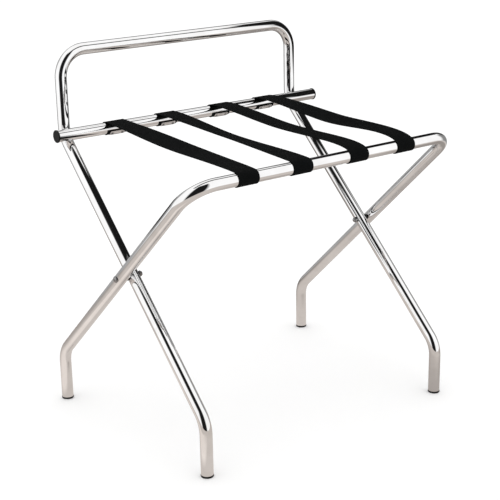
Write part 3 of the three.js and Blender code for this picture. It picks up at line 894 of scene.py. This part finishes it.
# ---- Floor, light and camera ----
def plane(name, size, centre, mat, turn=LEVEL):
    """turn is the plane's rotation about (x, y, z), in degrees; it starts out level."""
    x, y = size[0] / 2, size[1] / 2
    mesh = bpy.data.meshes.new(name)
    mesh.from_pydata([(-x, -y, 0), (x, -y, 0), (x, y, 0), (-x, y, 0)], [], [(0, 1, 2, 3)])
    obj = bpy.data.objects.new(name, mesh)
    bpy.context.scene.collection.objects.link(obj)
    obj.location = centre
    obj.rotation_euler = [math.radians(a) for a in turn]
    obj.data.materials.append(mat)
    return obj


class Studio(Nodes):
    """Nodes for the cards and the surround: shapes with soft edges, in an object's own coordinates."""

    def axes(self):
        place = self.add("ShaderNodeTexCoord").outputs["Object"]
        axes = self.add("ShaderNodeSeparateXYZ", {"Vector": place})
        return axes.outputs["X"], axes.outputs["Y"], axes.outputs["Z"]

    def inside(self, value, low, high, soft):
        rise = self.span(value, low - soft, low + soft)
        fall = self.span(value, high - soft, high + soft, 1, 0)
        return self.maths("MULTIPLY", rise, fall)

    def both(self, value_a, range_a, value_b, range_b):
        return self.maths("MULTIPLY", self.inside(value_a, *range_a), self.inside(value_b, *range_b))

    def blend_values(self, factor, a, b):
        return self.add("ShaderNodeMix", {0: factor, 2: a, 3: b}, data_type="FLOAT").outputs[0]

    def length(self, x, y):
        squares = self.maths("ADD", self.maths("MULTIPLY", x, x), self.maths("MULTIPLY", y, y))
        return self.maths("SQRT", squares)

    def degrees(self, opposite, adjacent):
        return self.maths("MULTIPLY", self.maths("ARCTAN2", opposite, adjacent), 180 / math.pi)


def light_material(name, build):
    """build(nodes) gives the brightness, a colour, and how much of the card is there."""
    mat = bpy.data.materials.new(name)
    mat.use_nodes = True
    mat.node_tree.nodes.clear()
    n = Studio(mat.node_tree)
    brightness, colour, presence = build(n)
    light = n.add("ShaderNodeEmission", {"Color": (*colour, 1), "Strength": brightness}).outputs[0]
    clear = n.add("ShaderNodeBsdfTransparent").outputs[0]
    mixed = n.add("ShaderNodeMixShader", {0: presence, 1: clear, 2: light}).outputs[0]
    n.link(mixed, n.add("ShaderNodeOutputMaterial").inputs["Surface"])
    return mat


def surround_light(n):
    """White all round, with the darker regions laid over it."""
    x, y, z = n.axes()
    azimuth = n.degrees(x, y)
    elevation = n.degrees(z, n.length(x, y))
    tone = SURROUND_WHITE
    for across, upward, brightness in SURROUND_REGIONS.values():
        tone = n.blend_values(n.both(azimuth, across, elevation, upward), tone, brightness)
    return tone, WHITE, 1.0


def floor_light(n):
    """The floor's tone as the tubes show it: warm, darker behind the rack, with painted shade and a painted
    bright strip in the patches.
    """
    x, y, _ = n.axes()
    tone = n.span(y, *TONE_BEHIND, 1.0, n.span(x, *TONE_SIDES))
    # Each patch scales the tone: painted shade where its factor is under 1, painted light where it is over
    # 1.
    for across, along, factor in PAINTED_FLOOR_PATCHES:
        tone = n.maths("MULTIPLY", tone, n.span(n.both(x, across, y, along), 0, 1, 1, factor))
    return tone, TONE_COLOUR, n.span(n.length(x, y), *TONE_FADE, 1, 0)


def only_reflected(card):
    for rays in ("camera", "diffuse", "transmission", "volume_scatter", "shadow"):
        setattr(card, f"visible_{rays}", False)


def dark_card(name, size, centre, dark, turn=LEVEL):
    """A black card that only reflections see; dark is its half width, half height and softness."""
    half_width, half_height, soft = dark

    def build(n):
        x, y, _ = n.axes()
        shape = n.both(x, (-half_width, half_width, soft), y, (-half_height, half_height, soft))
        return CARD_BLACK, WHITE, shape

    card = plane(name, size, centre, light_material(f"{name}_light", build), turn)
    only_reflected(card)
    return card


def leg_blade(side, centre, lean, dark):
    """A dark card along the upper part of an inner leg, facing it."""
    size = (2 * dark[0] + BLADE_MARGIN[0], 2 * dark[1] + BLADE_MARGIN[1])
    blade = dark_card(f"dark_blade_{side}", size, centre, dark)
    above = Vector((0, -LEG_ALONG.z, LEG_ALONG.y))
    towards = Matrix.Rotation(math.radians(-lean), 3, LEG_ALONG) @ -above
    blade.rotation_euler = Matrix((LEG_ALONG.cross(towards), LEG_ALONG, towards)).transposed().to_euler()


def build_surround():
    mesh = bpy.data.meshes.new("studio_surround")
    shell = bmesh.new()
    bmesh.ops.create_uvsphere(shell, u_segments=48, v_segments=24, radius=SURROUND_R)
    shell.to_mesh(mesh)
    shell.free()
    obj = bpy.data.objects.new("studio_surround", mesh)
    bpy.context.scene.collection.objects.link(obj)
    obj.location = (0, 0, SURROUND_Z)
    obj.data.materials.append(light_material("surround_light", surround_light))
    only_reflected(obj)


def build_world():
    world = bpy.data.worlds.new("studio")
    bpy.context.scene.world = world
    world.use_nodes = True
    backdrop = world.node_tree.nodes["Background"]
    backdrop.inputs["Color"].default_value = (*WHITE, 1)
    backdrop.inputs["Strength"].default_value = WORLD_WHITE


def build_studio():
    floor = plane("studio_floor", (FLOOR_SIZE, FLOOR_SIZE), (0, 0, -FLOOR_DROP), FLOOR)
    floor.visible_glossy = False
    tone = light_material("floor_light", floor_light)
    only_reflected(plane("floor_tone", (TONE_CARD, TONE_CARD), (0, 0, TONE_LIFT), tone))
    dark_card("dark_flag", **FLAG)
    dark_card("dark_boom", **BOOM)
    for side, blade in BLADES.items():
        leg_blade(side, **blade)
    build_surround()
    build_world()


def build_camera():
    azimuth, elevation, roll = (math.radians(a) for a in CAMERA_ANGLES)
    back = Vector((math.sin(azimuth) * math.cos(elevation), -math.cos(azimuth) * math.cos(elevation),
                   math.sin(elevation)))
    right = Vector((math.cos(azimuth), math.sin(azimuth), 0))
    up = back.cross(right)
    tilted = right * math.cos(roll) + up * math.sin(roll)
    above = up * math.cos(roll) - right * math.sin(roll)
    data = bpy.data.cameras.new("camera")
    data.lens = CAMERA_LENS
    data.sensor_width = CAMERA_SENSOR
    camera = bpy.data.objects.new("camera", data)
    bpy.context.scene.collection.objects.link(camera)
    turn = Matrix((tilted, above, back)).transposed().to_4x4()
    camera.matrix_world = Matrix.Translation(CAMERA_PLACE) @ turn
    bpy.context.scene.camera = camera


build_tubes()
for side, sign in SIDES:
    weld(side)
    pivot_bolt(side, sign)
    pivot_nut(side, sign)
    pivot_spacer(side)
build_caps()
variation = np.random.default_rng(CUP_SEED)
for number in range(1, STRAP_COUNT + 1):
    strap(number, variation.uniform(*CUP_RANGE_MM) * MM)
    for name in RAILS:
        retainer(name, number)
build_studio()
build_camera()
bpy.context.scene.view_settings.view_transform = "Standard"

bpy.context.view_layer.update()
